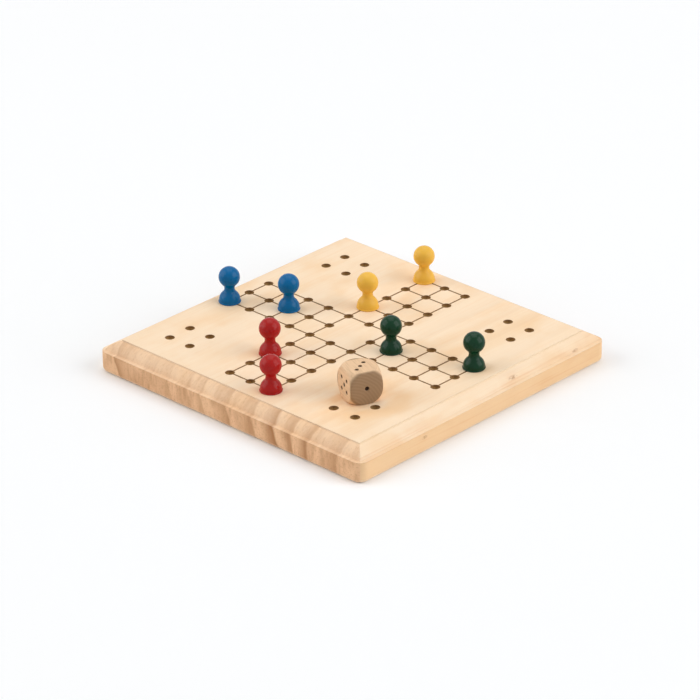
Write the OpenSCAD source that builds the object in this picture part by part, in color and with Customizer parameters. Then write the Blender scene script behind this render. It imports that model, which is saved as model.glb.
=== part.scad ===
// Square pine peg board for a race game, with eight turned pawns and one wooden die.
// Millimetres. The origin is the centre of the underside, +Z is up and +Y runs along the grain.

/* [Board] */
// Length of each side of the board
board_side = 172; // [162:1:220]
// Thickness of the board
board_thickness = 16; // [13:0.5:25]
// Radius of the four upright corners
corner_radius = 5; // [3.5:0.25:8]
// Radius that eases the lower edges
lower_ease = 2.5; // [0.5:0.25:3]

/* [Moulded edge] */
// Width of the moulded border, from the side to the flat top
moulding_width = 8.25; // [7:0.25:9]
// Depth of the moulded border, from the flat top to its ledge
moulding_depth = 5.25; // [4:0.25:6.5]
// Height of the small step where the flat top ends
step_height = 0.6; // [0.3:0.1:1]
// Width of the flat ledge at the foot of the moulding
ledge_width = 2.25; // [1:0.25:3]
// Angle through which the convex arc of the moulding turns
arc_turn = 50; // [20:5:70]

/* [Track] */
// Distance between neighbouring holes
hole_pitch = 13.5; // [12.5:0.25:14.25]
// Place of the track's middle across the grain, from the centre of the board
track_x = -1.75; // [-2.5:0.25:2.5]
// Diameter of the peg holes
hole_diameter = 4.7; // [3.5:0.1:6]
// Depth of the peg holes
hole_depth = 8; // [5:0.5:10]
// Width of the engraved lines
line_width = 0.9; // [0.4:0.1:1.2]
// Depth of the engraved lines
line_depth = 0.3; // [0.2:0.1:0.6]

/* [Pawns] */
// Height of a pawn above the board
pawn_height = 18.5; // [16.5:0.1:22]
// Diameter of the ball head
head_diameter = 10.5; // [9:0.1:11]
// Diameter of the neck
neck_diameter = 5.1; // [4:0.1:6]
// Diameter of the bell above the foot
bell_diameter = 10.5; // [9:0.1:11]
// Height of the bell's centre above the board
bell_rise = 1.2; // [0.8:0.1:2]
// Diameter of the foot
foot_diameter = 11.1; // [10.8:0.1:12]
// Thickness of the foot's rim
foot_height = 0.8; // [0.6:0.1:1.2]
// Gap between a peg and the wall of its hole
peg_clearance = 0.2; // [0.1:0.05:0.4]
// Gap between the end of a peg and the bottom of its hole
peg_end_gap = 1.5; // [0.5:0.25:3]
// Chamfer round the end of a peg
peg_chamfer = 0.5; // [0.25:0.05:1]

/* [Die] */
// Length of the die's edges
die_edge = 16.3; // [12:0.1:20]
// Radius of the die's edges
die_edge_radius = 1.75; // [0.5:0.25:2.5]
// Diameter of the ball that rounds the die's corners
die_rounding = 24.4; // [23.2:0.1:27]
// Distance of the outer pips from the middle of a face
pip_spread = 2.9; // [2.4:0.1:4]
// Diameter of a pip
pip_diameter = 2.1; // [1:0.1:2.4]
// Depth of a pip
pip_depth = 0.6; // [0.3:0.1:1]
// Place of the die across the grain, from the centre
die_x = 47; // [40:0.5:56]
// Place of the die along the grain, from the centre
die_y = -44.5; // [-56:0.5:-40]
// Turn of the die on the board
die_turn = -23.5; // [-45:0.5:45]

/* [Hidden] */
$fn = 48;

// Colours of the wood and the paints
PINE = "burlywood";
DIE_WOOD = "tan";
BLUE = "royalblue";
RED = "firebrick";
YELLOW = "goldenrod";
GREEN = "darkgreen";

// Holes where the pawns stand, in steps from the middle of the track
BLUE_PLACES = [[-5, -1], [-3, 0]];
RED_PLACES = [[-1, -3], [1, -5]];
YELLOW_PLACES = [[-1, 2], [-1, 5]];
GREEN_PLACES = [[2, 0], [5, 1]];

// Steps from the middle of the track to the end of an arm, and to the middle of a home square
ARM_END = 5;
HOME_STEP = 4;

// How far a cutter runs past the face that it cuts
past = 1;

half_side = board_side / 2;
flat_half = half_side - moulding_width;
ledge_height = board_thickness - moulding_depth;

// Convex arc of the moulding, from the foot of the step to the inner edge of the ledge
arc_width = moulding_width - ledge_width;
arc_height = moulding_depth - step_height;
arc_radius = norm([arc_width, arc_height]) / (2 * sin(arc_turn / 2));
arc_middle = [flat_half + arc_width / 2, ledge_height + arc_height / 2];
arc_centre = arc_middle - [arc_height, arc_width] / (2 * tan(arc_turn / 2));

// Distance from the centre to the middles of the rounded corners
corner = half_side - corner_radius;

// Two balls of the pawn, and how deep the hollow arc of the neck bites into both
head_radius = head_diameter / 2;
bell_radius = bell_diameter / 2;
neck_radius = neck_diameter / 2;
neck_bite = 0.01;
head_core = head_radius - neck_bite;
bell_core = bell_radius - neck_bite;
head_rise = pawn_height - head_radius;
neck_rise = bell_rise + neck_level(head_rise - bell_rise);
neck_arc = hollow_radius(bell_core, neck_rise - bell_rise);
neck_centre = [neck_radius + neck_arc, neck_rise];

peg_radius = hole_diameter / 2 - peg_clearance;
peg_length = hole_depth - peg_end_gap;

// Radius of an arc that leaves the neck's radius and touches a core, the given rise away
function hollow_radius(core, rise) =
    (rise * rise + neck_radius * neck_radius - core * core) / (2 * (core - neck_radius));

// Level above the bell's centre at which one arc touches both cores, with the head a span higher
function neck_level(span) =
    let (
        b = bell_core - neck_radius,
        h = head_core - neck_radius,
        square_term = b - h,
        line_term = -2 * b * span,
        last_term = b * (span * span + neck_radius * neck_radius - head_core * head_core)
            - h * (neck_radius * neck_radius - bell_core * bell_core),
        root = sqrt(line_term * line_term - 4 * square_term * last_term)
    )
    2 * last_term / (root - line_term);

// Point in the middle of the bite that the hollow arc takes out of a ball at the given height
function bite_point(core, rise) =
    [0, rise] + (neck_centre - [0, rise]) * (core + neck_bite / 2) / (core + neck_arc);

// Places of the track's holes, in steps from its middle: arms three wide round an empty centre
function track_steps() = [
    for (x = [-ARM_END:ARM_END], y = [-ARM_END:ARM_END])
        if (min(abs(x), abs(y)) <= 1 && max(abs(x), abs(y)) >= 1) [x, y]
];

// Places of the holes in the four home squares
function home_steps() = [
    for (x = [-1, 1], y = [-1, 1], dx = [-0.5, 0.5], dy = [-0.5, 0.5])
        [x * HOME_STEP + dx, y * HOME_STEP + dy]
];

// Right half of an upright section of the given width, up to the ledge, with its lower edge eased
module eased_half(width) {
    square([width - lower_ease, ledge_height]);
    translate([0, lower_ease]) square([width, ledge_height - lower_ease]);
    intersection() {
        translate([width - lower_ease, lower_ease]) circle(lower_ease);
        square([width + past, ledge_height]);
    }
}

// The board up to the ledge, with its lower edges eased round the corners too
module lower_body() {
    for (turn = [0, 90]) rotate(turn) rotate([90, 0, 0]) linear_extrude(2 * corner, center = true)
        for (side = [0, 1]) mirror([side, 0]) eased_half(half_side);
    for (turn = [0, 90, 180, 270]) rotate(turn) translate([corner, corner])
        rotate_extrude(angle = 90) eased_half(corner_radius);
}

// Upright section through the flat top and the arc of the moulding at each side
module top_section() {
    translate([-flat_half, lower_ease]) square([2 * flat_half, board_thickness - lower_ease]);
    for (side = [0, 1]) mirror([side, 0]) moulding_arc();
}

// Convex part of the moulding, at the right of the section
module moulding_arc() {
    intersection() {
        translate(arc_centre) circle(arc_radius);
        translate([flat_half - past, ledge_height - past / 2])
            square([arc_width + 2 * past, arc_height + (past + step_height) / 2]);
    }
}

// Square with round corners
module round_square(side, radius) {
    inner = side / 2 - radius;
    square([side, 2 * inner], center = true);
    square([2 * inner, side], center = true);
    for (x = [-inner, inner], y = [-inner, inner]) translate([x, y]) circle(radius);
}

module board_blank() {
    lower_body();
    intersection() {
        rotate([90, 0, 0]) linear_extrude(board_side, center = true) top_section();
        rotate([90, 0, 90]) linear_extrude(board_side, center = true) top_section();
        linear_extrude(board_thickness) round_square(board_side, corner_radius);
    }
}

// Point on the board's top that lies the given steps from the track's middle
function place(step) = [track_x + step.x * hole_pitch, step.y * hole_pitch, board_thickness];

module peg_holes() {
    for (step = concat(track_steps(), home_steps()))
        translate(place(step) - [0, 0, hole_depth]) cylinder(d = hole_diameter, h = hole_depth + past);
}

// One engraved line along X, from one step to another, in the row that is given in steps
module engraved_line(from, to, row) {
    translate([
        from * hole_pitch,
        row * hole_pitch - line_width / 2,
        board_thickness - line_depth
    ])
        cube([(to - from) * hole_pitch, line_width, line_depth + past]);
}

// The lines join all neighbours on the track, and none crosses the empty middle
module track_lines() {
    for (turn = [0, 90, 180, 270]) translate([track_x, 0, 0]) rotate(turn) {
        engraved_line(-ARM_END, ARM_END, 1);
        engraved_line(1, ARM_END, 0);
        for (step = [2:ARM_END]) rotate(90) engraved_line(-1, 1, step);
    }
}

module game_board() {
    color(PINE) difference() {
        board_blank();
        peg_holes();
        track_lines();
    }
}

// Half outline of a pawn, with the board's top at zero
module pawn_outline() {
    intersection() {
        square([foot_diameter, pawn_height]);
        union() {
            translate([0, head_rise]) circle(head_radius);
            translate([0, bell_rise]) circle(bell_radius);
            neck_outline();
            foot_outline();
        }
    }
    peg_outline();
}

module neck_outline() {
    difference() {
        polygon([
            [0, bell_rise],
            bite_point(bell_core, bell_rise),
            bite_point(head_core, head_rise),
            [0, head_rise]
        ]);
        translate(neck_centre) circle(neck_arc);
    }
}

// Foot: a thin disc with a half-round rim
module foot_outline() {
    rim = foot_height / 2;
    square([foot_diameter / 2 - rim, foot_height]);
    translate([foot_diameter / 2 - rim, rim]) circle(rim);
}

module peg_outline() {
    polygon([
        [0, -peg_length],
        [peg_radius - peg_chamfer, -peg_length],
        [peg_radius, peg_chamfer - peg_length],
        [peg_radius, foot_height / 2],
        [0, foot_height / 2]
    ]);
}

// A pawn with its peg in the hole that lies the given steps from the track's middle
module pawn(step) {
    translate(place(step)) rotate_extrude() pawn_outline();
}

module blue_pawn_1() { color(BLUE) pawn(BLUE_PLACES[0]); }
module blue_pawn_2() { color(BLUE) pawn(BLUE_PLACES[1]); }
module red_pawn_1() { color(RED) pawn(RED_PLACES[0]); }
module red_pawn_2() { color(RED) pawn(RED_PLACES[1]); }
module yellow_pawn_1() { color(YELLOW) pawn(YELLOW_PLACES[0]); }
module yellow_pawn_2() { color(YELLOW) pawn(YELLOW_PLACES[1]); }
module green_pawn_1() { color(GREEN) pawn(GREEN_PLACES[0]); }
module green_pawn_2() { color(GREEN) pawn(GREEN_PLACES[1]); }

// Places of a face's pips, in spreads from its middle
function pip_steps(count) = concat(
    count % 2 == 1 ? [[0, 0]] : [],
    count >= 2 ? [[1, -1], [-1, 1]] : [],
    count >= 4 ? [[1, 1], [-1, -1]] : [],
    count == 6 ? [[0, 1], [0, -1]] : []
);

// Cutters for the pips of one face, which looks along +Z
module pips(count) {
    for (step = pip_steps(count))
        translate([step.x * pip_spread, step.y * pip_spread, die_edge / 2 - pip_depth])
            cylinder(d = pip_diameter, h = pip_depth + past, $fn = 36);
}

// Cube with round edges on four of its sides, along Z
module round_bar() {
    linear_extrude(die_edge, center = true) round_square(die_edge, die_edge_radius);
}

// Cube with round edges, whose corners are rounded further by a ball
module die_blank() {
    intersection() {
        round_bar();
        rotate([90, 0, 0]) round_bar();
        rotate([0, 90, 0]) round_bar();
        sphere(d = die_rounding);
    }
}

// Opposite faces add up to seven
module die() {
    color(DIE_WOOD)
        translate([die_x, die_y, board_thickness + die_edge / 2]) rotate(die_turn) difference() {
            die_blank();
            pips(3);
            rotate([180, 0, 0]) pips(4);
            rotate([0, 90, 0]) pips(1);
            rotate([0, -90, 0]) pips(6);
            rotate([90, 0, 0]) pips(5);
            rotate([-90, 0, 0]) pips(2);
        }
}

game_board();
blue_pawn_1();
blue_pawn_2();
red_pawn_1();
red_pawn_2();
yellow_pawn_1();
yellow_pawn_2();
green_pawn_1();
green_pawn_2();
die();
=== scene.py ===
"""Looks of a wooden peg board with eight pawns and a die: a finish for each piece, and a white studio."""

import math

import bmesh
import bpy
from bpy.props import FloatProperty, FloatVectorProperty, PointerProperty
from mathutils import Matrix, Vector


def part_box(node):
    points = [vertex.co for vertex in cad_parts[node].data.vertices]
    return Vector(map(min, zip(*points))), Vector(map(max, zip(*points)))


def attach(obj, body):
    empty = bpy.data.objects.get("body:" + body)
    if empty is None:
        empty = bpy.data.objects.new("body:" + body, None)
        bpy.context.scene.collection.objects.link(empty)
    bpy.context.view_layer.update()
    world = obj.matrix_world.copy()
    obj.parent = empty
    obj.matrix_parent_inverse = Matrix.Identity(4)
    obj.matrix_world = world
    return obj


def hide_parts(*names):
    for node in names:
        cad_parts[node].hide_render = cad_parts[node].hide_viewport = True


bl_info = {
    "name": "Wooden peg board game",
    "version": (1, 0, 0),
    "blender": (4, 5, 0),
    "location": "3D View > Sidebar > Peg board",
    "description": "Finishes a pine peg board, its pawns and its die, and lights them on a white floor",
    "category": "Object",
}

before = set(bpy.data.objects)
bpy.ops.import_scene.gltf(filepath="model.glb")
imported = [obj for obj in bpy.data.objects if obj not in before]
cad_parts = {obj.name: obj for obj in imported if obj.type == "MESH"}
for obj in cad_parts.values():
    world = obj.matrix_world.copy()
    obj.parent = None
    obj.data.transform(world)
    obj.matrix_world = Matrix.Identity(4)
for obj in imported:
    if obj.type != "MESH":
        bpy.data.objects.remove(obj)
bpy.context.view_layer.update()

MM = 0.001

# Inputs of a Mix node that mixes colours
MIX_SHARE = 0
MIX_BELOW = 6
MIX_ABOVE = 7

# The board's sizes that its finish follows, in millimetres
BOARD_LOW, BOARD_HIGH = (corner / MM for corner in map(Vector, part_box("game_board")))
BOARD_SIDE = BOARD_HIGH.x - BOARD_LOW.x
BOARD_TOP = BOARD_HIGH.z
MOULDING_WIDTH = 8.25
FLAT_HALF = BOARD_SIDE / 2 - MOULDING_WIDTH

# The die's place and size, in millimetres
DIE_LOW, DIE_HIGH = (corner / MM for corner in map(Vector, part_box("die")))
DIE_CENTRE = (DIE_LOW + DIE_HIGH) / 2
DIE_EDGE = DIE_HIGH.z - DIE_LOW.z
DIE_TURN = math.radians(-23.5)

# The die's corners lie on this ball, in millimetres, and its edges are worn as softly as the power says
DIE_BALL = 23.2
DIE_SOFTNESS = 50
DIE_GRID = 72

# The die's pips, in millimetres, and how far the slope at a pip's rim reaches inwards and outwards
PIP_SPREAD = 2.9
PIP_RADIUS = 1.05
PIP_DEPTH = 0.6
PIP_SLOPE = (0.15, 0.1)

# The middle of the die's growth rings, below one of its edges, and the width of a ring, in millimetres
DIE_HEART = (0.0, -9.0, -11.0)
DIE_RING = 1.5

# Distance between the waves of a Wave node whose scale is 1
WAVE_STEP = math.pi / 10

# The die's faces: how far each is turned from the top about X and Y in degrees, and its number of pips
DIE_FACES = (((0, 0), 3), ((180, 0), 4), ((0, 90), 1), ((0, -90), 6), ((90, 0), 5), ((-90, 0), 2))

# Places of the pips on a face, in spreads from its middle
PIP_PLACES = {
    1: ((0, 0),),
    2: ((1, -1), (-1, 1)),
    3: ((0, 0), (1, -1), (-1, 1)),
    4: ((1, -1), (-1, 1), (1, 1), (-1, -1)),
    5: ((0, 0), (1, -1), (-1, 1), (1, 1), (-1, -1)),
    6: ((1, -1), (-1, 1), (1, 1), (-1, -1), (0, 1), (0, -1)),
}

# Bands of late wood in the plank: where each one ends, across the grain in millimetres, and how dark it is
LATE_WOOD = (
    (-38.0, 0.35),
    (-25.0, 0.30),
    (-16.5, 0.45),
    (1.0, 0.60),
    (17.5, 0.60),
    (31.5, 1.00),
    (42.5, 0.75),
    (52.5, 0.85),
    (71.5, 0.60),
)
# Across the grain, the line where the plank's outer, lighter strip begins
PALE_STRIP = -74.4

# Painted shade around the die: a warmer, darker tone on the top, with its middle and its reach along X, Y and
# Z in millimetres
DIE_SHADE_PATCH = ((48.0, -46.0, 16.0), (34.0, 42.0, 60.0))

# Small dark marks in the long side: place and reach along X, Y and Z in millimetres
SIDE_MARKS = (
    ((86.0, -43.0, 8.3), (3.0, 2.4, 1.3)),
    ((82.0, 22.5, 13.0), (3.0, 4.0, 1.0)),
    ((83.5, 66.0, 11.5), (3.0, 3.0, 0.9)),
)

# Patterns in the pine, which are long along the grain (Y): reach of a patch along X, Y and Z in millimetres,
# detail, the noise at which it starts and is whole, and how much it counts there. The ends of real fibres are
# a tenth as wide as these, which are as coarse as they need to be to show.
PINE_PATTERNS = {
    # The first pattern breaks the painted shade around the die into blotches
    "warm": ((10.0, 24.0, 16.0), 3.0, 0.3, 0.65, 1.0),
    "streaks": ((11.0, 70.0, 11.0), 2.0, 0.42, 0.75, 0.35),
    "blotches": ((14.0, 26.0, 16.0), 3.0, 0.42, 0.75, 0.5),
    "fibre ends": ((0.8, 6.0, 0.8), 3.0, 0.5, 0.72, 0.3),
    "side lines": ((9.0, 70.0, 1.1), 2.0, 0.5, 0.75, 0.3),
    "side blotches": ((12.0, 16.0, 7.0), 2.0, 0.45, 0.75, 0.22),
    "end streaks": ((1.6, 9.0, 12.0), 3.0, 0.45, 0.8, 0.35),
    "end patches": ((6.0, 60.0, 14.0), 2.0, 0.48, 0.68, 0.28),
    "flecks": ((2.0, 1.5, 0.6), 2.0, 0.35, 0.6, 1.0),
}

# The lamps: direction from +X towards +Y and height in degrees, side in metres, and the name of the power
LAMPS = (
    ("top_lamp", 134, 77, 4.3, "top_power"),
    ("right_lamp", 27, 30, 4.6, "right_power"),
    ("left_lamp", -136, 30, 4.6, "left_power"),
)


def linear(hex_colour):
    """Linear red, green and blue of an sRGB colour in hex."""
    channels = []
    for start in (1, 3, 5):
        value = int(hex_colour[start : start + 2], 16) / 255
        channels.append(value / 12.92 if value <= 0.04045 else ((value + 0.055) / 1.055) ** 2.4)
    return tuple(channels)


def colour_property(name, hex_colour, description):
    """A colour that a user can change."""
    return FloatVectorProperty(
        name=name, description=description, default=linear(hex_colour), subtype="COLOR", size=3, min=0, max=1
    )


class BoardLook(bpy.types.PropertyGroup):
    """Colours and sizes of the board's finish."""

    early_wood: colour_property("Early wood", "#FEE5C6", "The pale wood of the top")
    streak_wood: colour_property("Warm wood", "#F6CB98", "The streaks along the grain, and the long sides")
    end_wood: colour_property("End grain", "#F6C79A", "The two sides that show the ends of the fibres")
    late_wood: colour_property("Late wood", "#B17748", "The dark end of each growth band")
    side_line: colour_property("Side lines", "#E9B27E", "The darker lines and blotches on the two long sides")
    burnt_wood: colour_property("Burnt wood", "#A07A50", "The engraved lines and the rims of the holes")
    drilled_wood: colour_property("Drilled wood", "#E2C288", "The walls and floors of the holes")
    fibre_width: FloatProperty(
        name="Fibre width", description="Width of the finest streaks, which are bundles of fibres",
        default=0.9 * MM, min=0.2 * MM, subtype="DISTANCE", unit="LENGTH"
    )
    edge_radius: FloatProperty(
        name="Edge softness", description="Radius of the sanded edges",
        default=0.55 * MM, min=0, subtype="DISTANCE", unit="LENGTH"
    )


class PawnLook(bpy.types.PropertyGroup):
    """Colours and sizes of the pawns' paint."""

    blue: colour_property("Blue", "#00659E", "Paint of the blue pawns")
    red: colour_property("Red", "#AE1D1B", "Paint of the red pawns")
    yellow: colour_property("Yellow", "#F6C04C", "Paint of the yellow pawns")
    green: colour_property("Green", "#103A24", "Paint of the green pawns")
    turning_step: FloatProperty(
        name="Turning marks", description="Distance between turning marks, drawn coarse enough to show",
        default=0.6 * MM, min=0.1 * MM, subtype="DISTANCE", unit="LENGTH"
    )


class DieLook(bpy.types.PropertyGroup):
    """Colours of the die."""

    side_wood: colour_property("Side grain", "#EDC8A1", "The four faces along the grain")
    end_wood: colour_property("End grain", "#9C7E60", "The two faces across the grain")
    burnt_pip: colour_property("Pips", "#2E1A0C", "The burnt pips")


class StageLook(bpy.types.PropertyGroup):
    """Camera, lamps and floor."""

    camera_azimuth: FloatProperty(
        name="Camera azimuth", description="Direction of the camera from the board, from +X towards +Y",
        default=math.radians(-46.39), subtype="ANGLE", unit="ROTATION"
    )
    camera_elevation: FloatProperty(
        name="Camera elevation", description="Height of the camera above the horizon",
        default=math.radians(26.68), subtype="ANGLE", unit="ROTATION"
    )
    camera_roll: FloatProperty(
        name="Camera roll", description="Turn of the camera about its own axis",
        default=math.radians(-0.54), subtype="ANGLE", unit="ROTATION"
    )
    camera_distance: FloatProperty(
        name="Camera distance", description="Distance from the camera to the point that it looks at",
        default=1.8585, subtype="DISTANCE", unit="LENGTH"
    )
    camera_aim: FloatVectorProperty(
        name="Camera aim", description="Point that the camera looks at",
        default=(0.0007, -0.0025, 0.0091), subtype="XYZ", unit="LENGTH"
    )
    camera_lens: FloatProperty(
        name="Camera lens", description="Focal length for a 36 mm sensor, in millimetres",
        default=199.97, unit="CAMERA"
    )
    lamp_distance: FloatProperty(
        name="Lamp distance", description="Distance of the lamps from the board",
        default=5.0, subtype="DISTANCE", unit="LENGTH"
    )
    top_power: FloatProperty(
        name="Top lamp", description="Power of the lamp above the board", default=108, min=0, unit="POWER"
    )
    right_power: FloatProperty(
        name="Right lamp", description="Power of the lamp at the right", default=170, min=0, unit="POWER"
    )
    left_power: FloatProperty(
        name="Left lamp", description="Power of the lamp at the left", default=142, min=0, unit="POWER"
    )
    room_light: FloatProperty(
        name="Room light", description="Strength of the even light from all round", default=0.15, min=0
    )
    floor: colour_property("Floor", "#F7F8F9", "Paper that the board lies on")
    floor_lift: FloatProperty(
        name="Floor lift", description="Brightness that the floor has for the camera alone, to make it white",
        default=0.07, min=0
    )
    floor_size: FloatProperty(
        name="Floor size", description="Side of the square floor",
        default=8.0, min=1, subtype="DISTANCE", unit="LENGTH"
    )


def add_node(tree, kind, inputs=None, **settings):
    """Adds a node with its settings, and gives each named or numbered input a value or a link.

    A node as an input stands for its first output that is in use. Colours are given without their alpha.
    """
    node = tree.nodes.new(kind)
    for name, value in settings.items():
        setattr(node, name, value)
    for name, value in (inputs or {}).items():
        if isinstance(value, bpy.types.Node):
            value = next(output for output in value.outputs if output.enabled)
        if isinstance(value, bpy.types.NodeSocket):
            tree.links.new(value, node.inputs[name])
        elif node.inputs[name].type == "RGBA":
            node.inputs[name].default_value = (*value, 1)
        else:
            node.inputs[name].default_value = value
    return node


def start_material(name):
    """A material and its empty tree."""
    material = bpy.data.materials.new(name)
    material.use_nodes = True
    material.node_tree.nodes.clear()
    return material, material.node_tree


def place_in_mm(tree):
    """Place on the piece in millimetres, which moves with the piece."""
    place = add_node(tree, "ShaderNodeTexCoord").outputs["Object"]
    return add_node(tree, "ShaderNodeVectorMath", {0: place, "Scale": 1 / MM}, operation="SCALE")


def reaches_from(tree, place, centre, reach):
    """Distance from a centre, counted in reaches along X, Y and Z."""
    away = add_node(tree, "ShaderNodeVectorMath", {0: place, 1: centre}, operation="SUBTRACT")
    scaled = add_node(tree, "ShaderNodeVectorMath", {0: away, 1: reach}, operation="DIVIDE")
    return add_node(tree, "ShaderNodeVectorMath", {0: scaled}, operation="LENGTH")


def patches(tree, place, reach, detail):
    """Noise from 0 to 1 with patches of the given reach along X, Y and Z, in millimetres."""
    shrunk = add_node(tree, "ShaderNodeVectorMath", {0: place, 1: reach}, operation="DIVIDE")
    return add_node(tree, "ShaderNodeTexNoise", {"Vector": shrunk, "Scale": 1.0, "Detail": detail})


def mottle(tree, place, reach, detail, low, high, most):
    """Share of a pattern of patches: 0 where their noise is below low, and most where it is above high."""
    return add_node(
        tree,
        "ShaderNodeMapRange",
        {"Value": patches(tree, place, reach, detail), "From Min": low, "From Max": high, "To Max": most},
        interpolation_type="SMOOTHSTEP",
    )


def lay_colours(tree, colour, layers):
    """A colour under layers. Each layer is a colour with its shares, which are multiplied."""
    for upper, *shares in layers:
        share = shares[0]
        for other in shares[1:]:
            share = add_node(tree, "ShaderNodeMath", {0: share, 1: other}, operation="MULTIPLY")
        mixed = {MIX_SHARE: share, MIX_BELOW: colour, MIX_ABOVE: upper}
        colour = add_node(tree, "ShaderNodeMix", mixed, data_type="RGBA")
    return colour


def late_wood_share(tree, across):
    """Share of late wood at a place across the grain, from a ramp as wide as the board."""
    half = BOARD_SIDE / 2
    along_ramp = add_node(tree, "ShaderNodeMapRange", {"Value": across, "From Min": -half, "From Max": half})
    share_ramp = add_node(tree, "ShaderNodeValToRGB", {"Fac": along_ramp})
    # The pale strip begins with a dark line, and each band darkens slowly and ends at once
    stops = [(PALE_STRIP - 0.3, 0.0), (PALE_STRIP + 0.3, 0.75), (PALE_STRIP + 4, 0.35)]
    start = PALE_STRIP + 9
    for end, darkness in LATE_WOOD:
        stops += [(start + (end - start) * 0.35, 0.0), (end - 0.4, darkness), (end + 0.5, 0.0)]
        start = end
    elements = share_ramp.color_ramp.elements
    while len(elements) < len(stops):
        elements.new(1.0)
    for element, (place, share) in zip(elements, stops):
        element.position = place / BOARD_SIDE + 0.5
        element.color = (share, share, share, 1)
    return share_ramp


def inside_holes(tree, far_across, far_along, height):
    """1 on the walls and floors of the holes and the engraved lines, and 0 on the board's outside."""
    share = 1.0
    furthest = add_node(tree, "ShaderNodeMath", {0: far_across, 1: far_along}, operation="MAXIMUM")
    for value, test, limit in (
        (furthest, "LESS_THAN", FLAT_HALF - 0.05),
        (height, "LESS_THAN", BOARD_TOP - 0.04),
        (height, "GREATER_THAN", 1.0),
    ):
        passed = add_node(tree, "ShaderNodeMath", {0: value, 1: limit}, operation=test)
        share = add_node(tree, "ShaderNodeMath", {0: share, 1: passed}, operation="MULTIPLY")
    return share


def side_marks(tree, place):
    """Share of the small dark marks in the long side."""
    total = 0.0
    for centre, reach in SIDE_MARKS:
        away = reaches_from(tree, place, centre, reach)
        mark = add_node(
            tree,
            "ShaderNodeMapRange",
            {"Value": away, "From Min": 1.0, "From Max": 0.2, "To Max": 0.6},
            interpolation_type="SMOOTHSTEP",
        )
        total = add_node(tree, "ShaderNodeMath", {0: total, 1: mark}, operation="MAXIMUM")
    return total


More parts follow.
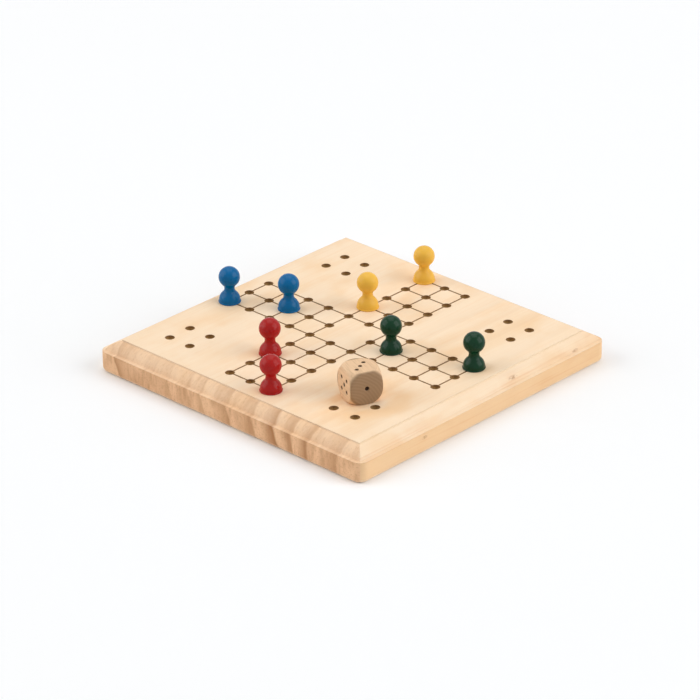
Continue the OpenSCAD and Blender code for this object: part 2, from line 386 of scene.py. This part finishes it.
def pine(look):
    """Pine, planed, moulded, drilled and clear lacquered.

    The eye sees pale early wood with faint warm streaks along the grain, growth bands that darken slowly and
    end at once where the fibres' ends show, and lines burnt brown, under a thin matt lacquer.
    """
    material, tree = start_material("Pine, planed and clear lacquered")
    place = place_in_mm(tree)
    x, y, z = add_node(tree, "ShaderNodeSeparateXYZ", {"Vector": place}).outputs
    normal = add_node(tree, "ShaderNodeTexCoord").outputs["Normal"]
    facing_up = add_node(tree, "ShaderNodeSeparateXYZ", {"Vector": normal}).outputs["Z"]
    far_across, far_along, level = (
        add_node(tree, "ShaderNodeMath", {0: value}, operation="ABSOLUTE") for value in (x, y, facing_up)
    )
    past_mitre = add_node(tree, "ShaderNodeMath", {0: far_along, 1: far_across}, operation="SUBTRACT")

    # Parts of the board: what tells each one, where it starts and where it is whole, and how much it counts.
    # The ends of the fibres show in the end border past the moulding's mitres, and most where it is upright.
    share = {}
    for name, value, start, whole, most in (
        ("upright", level, 0.5, 0.1, 1.0),
        ("past mitre", past_mitre, -0.15, 0.15, 1.0),
        ("before mitre", past_mitre, 0.15, -0.15, 0.8),
        ("end border", far_along, FLAT_HALF - 0.1, FLAT_HALF + 0.3, 1.0),
        ("side border", far_across, FLAT_HALF + 0.5, FLAT_HALF + 3.0, 1.0),
        ("past top", far_across, FLAT_HALF + 1.0, FLAT_HALF + 2.0, 1.0),
        ("leaning", x, 52.0, 33.0, 0.35),
        # Painted shade around the die: full under the die and fading out over its reach
        ("shade around die", reaches_from(tree, place, *DIE_SHADE_PATCH), 1.0, 0.2, 0.9),
        ("deep", z, BOARD_TOP - 0.4, BOARD_TOP - 2.4, 1.0),
    ):
        share[name] = add_node(
            tree,
            "ShaderNodeMapRange",
            {"Value": value, "From Min": start, "From Max": whole, "To Max": most},
            interpolation_type="SMOOTHSTEP",
        )
    at_end = add_node(
        tree, "ShaderNodeMath", {0: share["end border"], 1: share["past mitre"]}, operation="MULTIPLY"
    )
    end_depth = add_node(
        tree, "ShaderNodeMapRange", {"Value": share["upright"], "To Min": 0.52, "To Max": 1.0}
    )
    end_grain = add_node(tree, "ShaderNodeMath", {0: at_end, 1: end_depth}, operation="MULTIPLY")
    long_side = (share["before mitre"], share["upright"], share["past top"])

    # The bands wander a little along the plank, and lean with height, more so in the middle of its width
    wander = patches(tree, place, (60.0, 90.0, 12.0), 2.0)
    shift = add_node(tree, "ShaderNodeMath", {0: wander, 1: 3.0, 2: -1.5}, operation="MULTIPLY_ADD")
    height = add_node(tree, "ShaderNodeMath", {0: z, 1: BOARD_TOP / 2}, operation="SUBTRACT")
    lean = add_node(tree, "ShaderNodeMath", {0: height, 1: share["leaning"]}, operation="MULTIPLY")
    across = add_node(tree, "ShaderNodeMath", {0: x, 1: shift}, operation="ADD")
    across = add_node(tree, "ShaderNodeMath", {0: across, 1: lean}, operation="ADD")
    bands = late_wood_share(tree, across)
    band_strength = add_node(tree, "ShaderNodeMapRange", {"Value": end_grain, "To Min": 0.06, "To Max": 1.0})

    # Single fibres are too fine to show, so the streaks along the grain are as wide as bundles of them
    pattern = {name: mottle(tree, place, *values) for name, values in PINE_PATTERNS.items()}
    fibre = look.fibre_width / MM
    fibres = mottle(tree, place, (fibre, 45.0, fibre), 3.0, 0.45, 0.8, 0.25)
    side_grain = add_node(
        tree, "ShaderNodeMath", {0: pattern["side lines"], 1: pattern["side blotches"]}, operation="ADD"
    )

    # The lines are burnt in, and the holes are drilled through them. The holes take the burnt colour all
    # round their rims and turn to the drilled colour over the top 2.4 mm, so they are darker at the top and
    # lighter deeper in
    cut = lay_colours(tree, look.burnt_wood, ((look.drilled_wood, share["deep"]),))
    colour = lay_colours(
        tree,
        look.early_wood,
        (
            # Painted shade around the die, in the warm wood colour
            (look.streak_wood, share["shade around die"], pattern["warm"]),
            (look.streak_wood, pattern["streaks"]),
            (look.streak_wood, pattern["blotches"]),
            (look.streak_wood, fibres),
            (look.streak_wood, *long_side),
            (look.side_line, side_grain, share["side border"]),
            (look.end_wood, end_grain),
            (look.late_wood, bands, band_strength),
            (look.late_wood, pattern["fibre ends"], end_grain),
            (look.late_wood, pattern["end streaks"], end_grain),
            (look.late_wood, pattern["end patches"], end_grain),
            (look.late_wood, side_marks(tree, place), pattern["flecks"]),
            (cut, inside_holes(tree, far_across, far_along, z)),
        ),
    )

    # The sander leaves soft edges and a trace of the fibres in the lacquer
    softened = add_node(tree, "ShaderNodeBevel", {"Radius": look.edge_radius}, samples=6)
    relief = add_node(
        tree,
        "ShaderNodeBump",
        {"Height": fibres, "Strength": 0.25, "Distance": 0.05 * MM, "Normal": softened},
    )
    shader = add_node(
        tree,
        "ShaderNodeBsdfPrincipled",
        {"Base Color": colour, "Roughness": 0.55, "Specular IOR Level": 0.25, "Normal": relief},
    )
    add_node(tree, "ShaderNodeOutputMaterial", {"Surface": shader})
    return material


def enamel(name, paint, look):
    """Enamel on turned beech, dipped.

    The eye sees one strong colour that is a little uneven, with a soft highlight and faint turning marks.
    """
    material, tree = start_material(f"{name.capitalize()} enamel on turned beech")
    place = place_in_mm(tree)
    thick = tuple(channel * 0.72 for channel in paint)
    colour = lay_colours(tree, paint, ((thick, mottle(tree, place, (5.0, 5.0, 3.0), 2.0, 0.3, 0.8, 0.25)),))
    turning = patches(tree, place, (40.0, 40.0, look.turning_step / MM), 1.0)
    relief = add_node(tree, "ShaderNodeBump", {"Height": turning, "Strength": 0.2, "Distance": 0.04 * MM})
    shader = add_node(
        tree,
        "ShaderNodeBsdfPrincipled",
        {"Base Color": colour, "Roughness": 0.16, "Specular IOR Level": 0.14, "Normal": relief},
    )
    add_node(tree, "ShaderNodeOutputMaterial", {"Surface": shader})
    return material


def die_wood(look):
    """Rubberwood, sawn into a cube, tumbled and left bare, with burnt pips.

    The eye sees tan faces with short fibres, darker faces where the fibres end, and near-black pips.
    """
    material, tree = start_material("Rubberwood, tumbled and bare")
    turned = add_node(
        tree,
        "ShaderNodeMapping",
        {"Vector": place_in_mm(tree), "Location": DIE_CENTRE, "Rotation": (0.0, 0.0, DIE_TURN)},
        vector_type="TEXTURE",
    )
    size = add_node(tree, "ShaderNodeVectorMath", {0: turned}, operation="ABSOLUTE")
    along = add_node(tree, "ShaderNodeSeparateXYZ", {"Vector": size}).outputs["X"]
    burnt = add_node(tree, "ShaderNodeAttribute", attribute_name="pip").outputs["Fac"]

    # The fibres run along X, so they end on two faces
    share = {}
    for name, value, start, whole in (
        ("end", along, DIE_EDGE / 2 - 1.7, DIE_EDGE / 2 - 0.2),
        ("pip", burnt, 0.3, 0.7),
    ):
        share[name] = add_node(
            tree,
            "ShaderNodeMapRange",
            {"Value": value, "From Min": start, "From Max": whole},
            interpolation_type="SMOOTHSTEP",
        )
    heart = add_node(tree, "ShaderNodeVectorMath", {0: turned, 1: DIE_HEART}, operation="SUBTRACT")
    rings = add_node(
        tree,
        "ShaderNodeTexWave",
        {
            "Vector": heart,
            "Scale": WAVE_STEP / DIE_RING,
            "Distortion": 2.0,
            "Detail": 2.0,
            "Detail Scale": 1.0,
        },
        wave_type="RINGS",
        rings_direction="X",
    ).outputs["Fac"]
    end_grain = lay_colours(tree, look.end_wood, ((look.side_wood, rings, 0.08),))
    side_fibres = mottle(tree, turned, (9.0, 0.8, 0.8), 3.0, 0.35, 0.8, 0.3)
    colour = lay_colours(
        tree,
        look.side_wood,
        ((look.end_wood, side_fibres), (end_grain, share["end"]), (look.burnt_pip, share["pip"])),
    )

    fibres = patches(tree, turned, (4.0, 0.4, 0.4), 3.0)
    relief = add_node(tree, "ShaderNodeBump", {"Height": fibres, "Strength": 0.3, "Distance": 0.06 * MM})
    shader = add_node(
        tree,
        "ShaderNodeBsdfPrincipled",
        {"Base Color": colour, "Roughness": 0.7, "Specular IOR Level": 0.2, "Normal": relief},
    )
    add_node(tree, "ShaderNodeOutputMaterial", {"Surface": shader})
    return material


def studio_paper(look):
    """White paper, matt.

    The eye sees the shadow of what lies on it, and the camera alone sees the paper lifted to white.
    """
    material, tree = start_material("White studio paper, matt")
    rays = add_node(tree, "ShaderNodeLightPath").outputs
    seen = add_node(
        tree, "ShaderNodeMath", {0: rays["Is Camera Ray"], 1: rays["Is Glossy Ray"]}, operation="MAXIMUM"
    )
    lift = add_node(tree, "ShaderNodeMath", {0: seen, 1: look.floor_lift}, operation="MULTIPLY")
    shader = add_node(
        tree,
        "ShaderNodeBsdfPrincipled",
        {
            "Base Color": look.floor,
            "Roughness": 1.0,
            "Specular IOR Level": 0.0,
            "Emission Color": (1, 1, 1),
            "Emission Strength": lift,
        },
    )
    add_node(tree, "ShaderNodeOutputMaterial", {"Surface": shader})
    return material


def direction(azimuth, elevation):
    """Unit vector at an azimuth, from +X towards +Y, and a height above the horizon."""
    level = math.cos(elevation)
    return Vector((math.cos(azimuth) * level, math.sin(azimuth) * level, math.sin(elevation)))


def dress(node, material):
    """Gives a CAD node a finish in all its material slots."""
    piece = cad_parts[node]
    if not piece.material_slots:
        raise RuntimeError(f"{node} has no material slot")
    for slot in piece.material_slots:
        slot.material = material


class PEGBOARD_OT_finish_board(bpy.types.Operator):
    """Give the board its pine finish"""

    bl_idname = "pegboard.finish_board"
    bl_label = "Finish the board"

    def execute(self, context):
        dress("game_board", pine(context.scene.board_look))
        return {"FINISHED"}


class PEGBOARD_OT_paint_pawns(bpy.types.Operator):
    """Paint the pawns in their four colours"""

    bl_idname = "pegboard.paint_pawns"
    bl_label = "Paint the pawns"

    def execute(self, context):
        look = context.scene.pawn_look
        for name in ("blue", "red", "yellow", "green"):
            material = enamel(name, getattr(look, name), look)
            for number in (1, 2):
                dress(f"{name}_pawn_{number}", material)
        return {"FINISHED"}


def rounded(point):
    """The place on the tumbled die's surface, in millimetres, in the direction of a point on its cube."""
    share = (point.length * 2 / DIE_BALL) ** DIE_SOFTNESS
    return point / (1 + share) ** (1 / DIE_SOFTNESS)


def smooth_step(value, low, high):
    """Smooth rise from 0 at low to 1 at high."""
    share = min(max((value - low) / (high - low), 0), 1)
    return share * share * (3 - 2 * share)


def pip_share(point, places):
    """How far a place on the top face lies inside its nearest pip, from 0 outside its rim to 1 inside."""
    away = min(math.hypot(point.x - PIP_SPREAD * x, point.y - PIP_SPREAD * y) for x, y in places)
    return 1 - smooth_step(away, PIP_RADIUS - PIP_SLOPE[0], PIP_RADIUS + PIP_SLOPE[1])


def tumbled_die():
    """The die as a mesh: a cube rounded by a ball, worn soft at the edges, with a dent for each pip."""
    shape = bmesh.new()
    pip_layer = shape.verts.layers.float.new("pip")
    half = DIE_EDGE / 2
    # Even angles from the middle give even steps on the rounded corners
    steps = [math.tan((2 * number / DIE_GRID - 1) * math.pi / 4) * half for number in range(DIE_GRID + 1)]
    stand = Matrix.Translation(DIE_CENTRE) @ Matrix.Rotation(DIE_TURN, 4, "Z")
    for (about_x, about_y), count in DIE_FACES:
        turn = Matrix.Rotation(math.radians(about_x), 4, "X") @ Matrix.Rotation(math.radians(about_y), 4, "Y")
        rows = []
        for x in steps:
            row = []
            for y in steps:
                point = rounded(Vector((x, y, half)))
                inside = pip_share(point, PIP_PLACES[count])
                point.z -= inside * PIP_DEPTH
                corner = shape.verts.new((stand @ turn @ point) * MM)
                corner[pip_layer] = inside
                row.append(corner)
            rows.append(row)
        for left, right in zip(rows, rows[1:]):
            for low in range(DIE_GRID):
                shape.faces.new((left[low], right[low], right[low + 1], left[low + 1]))
    bmesh.ops.remove_doubles(shape, verts=shape.verts, dist=0.001 * MM)
    for face in shape.faces:
        face.smooth = True
    mesh = bpy.data.meshes.new("tumbled_die")
    shape.to_mesh(mesh)
    shape.free()
    return mesh


class PEGBOARD_OT_finish_die(bpy.types.Operator):
    """Round the die and give it its bare wood and burnt pips"""

    bl_idname = "pegboard.finish_die"
    bl_label = "Finish the die"

    def execute(self, context):
        die = bpy.data.objects.new("tumbled_die", tumbled_die())
        context.scene.collection.objects.link(die)
        die.data.materials.append(die_wood(context.scene.die_look))
        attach(die, "die")
        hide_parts("die")
        return {"FINISHED"}


class PEGBOARD_OT_set_stage(bpy.types.Operator):
    """Lay the floor, hang the lamps, light the room and place the camera"""

    bl_idname = "pegboard.set_stage"
    bl_label = "Set the stage"

    def execute(self, context):
        look = context.scene.stage_look
        lay_floor(look)
        hang_lamps(look)
        light_room(context.scene, look)
        place_camera(context.scene, look)
        context.scene.view_settings.view_transform = "Standard"
        return {"FINISHED"}


def lay_floor(look):
    """A flat sheet of paper under the board."""
    half = look.floor_size / 2
    mesh = bpy.data.meshes.new("studio_floor")
    corners = [(-half, -half, 0), (half, -half, 0), (half, half, 0), (-half, half, 0)]
    mesh.from_pydata(corners, [], [(0, 1, 2, 3)])
    floor = bpy.data.objects.new("studio_floor", mesh)
    floor.data.materials.append(studio_paper(look))
    bpy.context.scene.collection.objects.link(floor)


def hang_lamp(name, azimuth, elevation, distance, size, power):
    """A square soft lamp that looks at the board."""
    lamp = bpy.data.lights.new(name, "AREA")
    lamp.shape = "SQUARE"
    lamp.size = size
    lamp.energy = power
    holder = bpy.data.objects.new(name, lamp)
    towards = direction(math.radians(azimuth), math.radians(elevation))
    holder.location = towards * distance
    holder.rotation_euler = (-towards).to_track_quat("-Z", "Y").to_euler()
    bpy.context.scene.collection.objects.link(holder)


def hang_lamps(look):
    """A large lamp above the board, and one low at either side of the camera's view."""
    for name, azimuth, elevation, size, power in LAMPS:
        hang_lamp(name, azimuth, elevation, look.lamp_distance, size, getattr(look, power))


def light_room(scene, look):
    """Even light from all round, which the camera, mirrors and glass see as white."""
    world = bpy.data.worlds.new("white_room")
    world.use_nodes = True
    tree = world.node_tree
    tree.nodes.clear()
    rays = add_node(tree, "ShaderNodeLightPath").outputs
    seen = rays["Is Camera Ray"]
    for name in ("Is Glossy Ray", "Is Transmission Ray"):
        seen = add_node(tree, "ShaderNodeMath", {0: seen, 1: rays[name]}, operation="MAXIMUM")
    strength = add_node(tree, "ShaderNodeMapRange", {"Value": seen, "To Min": look.room_light, "To Max": 1.0})
    light = add_node(tree, "ShaderNodeBackground", {"Color": (1, 1, 1), "Strength": strength})
    add_node(tree, "ShaderNodeOutputWorld", {"Surface": light})
    scene.world = world


def place_camera(scene, look):
    """The camera at the photograph's viewing angle."""
    camera = bpy.data.cameras.new("camera")
    camera.sensor_width = 36
    camera.lens = look.camera_lens
    camera.clip_start = 0.1
    camera.clip_end = 20
    holder = bpy.data.objects.new("camera", camera)
    back = direction(look.camera_azimuth, look.camera_elevation)
    right = Vector((0, 0, 1)).cross(back).normalized()
    up = back.cross(right)
    turn = Matrix((right, up, back)).transposed() @ Matrix.Rotation(look.camera_roll, 3, "Z")
    place = Vector(look.camera_aim) + back * look.camera_distance
    holder.matrix_world = Matrix.Translation(place) @ turn.to_4x4()
    scene.collection.objects.link(holder)
    scene.camera = holder


class PEGBOARD_PT_looks(bpy.types.Panel):
    """Lists the steps, and the sizes and colours that they use"""

    bl_label = "Peg board"
    bl_idname = "PEGBOARD_PT_looks"
    bl_space_type = "VIEW_3D"
    bl_region_type = "UI"
    bl_category = "Peg board"

    def draw(self, context):
        for step, group in STEPS:
            box = self.layout.box()
            look = getattr(context.scene, group)
            for name in look.__annotations__:
                box.prop(look, name)
            box.operator(step.bl_idname)


# Each step with the scene's property group that holds its sizes and colours
STEPS = (
    (PEGBOARD_OT_finish_board, "board_look"),
    (PEGBOARD_OT_paint_pawns, "pawn_look"),
    (PEGBOARD_OT_finish_die, "die_look"),
    (PEGBOARD_OT_set_stage, "stage_look"),
)
GROUPS = {"board_look": BoardLook, "pawn_look": PawnLook, "die_look": DieLook, "stage_look": StageLook}


def register():
    """Registers the property groups, the operators and the panel."""
    for name, group in GROUPS.items():
        bpy.utils.register_class(group)
        setattr(bpy.types.Scene, name, PointerProperty(type=group))
    for step, _ in STEPS:
        bpy.utils.register_class(step)
    bpy.utils.register_class(PEGBOARD_PT_looks)


def unregister():
    """Takes back what register did."""
    bpy.utils.unregister_class(PEGBOARD_PT_looks)
    for step, _ in reversed(STEPS):
        bpy.utils.unregister_class(step)
    for name, group in reversed(GROUPS.items()):
        delattr(bpy.types.Scene, name)
        bpy.utils.unregister_class(group)


def main():
    """Runs each step in order."""
    register()
    bpy.ops.pegboard.finish_board()
    bpy.ops.pegboard.paint_pawns()
    bpy.ops.pegboard.finish_die()
    bpy.ops.pegboard.set_stage()


if __name__ == "__main__":
    main()
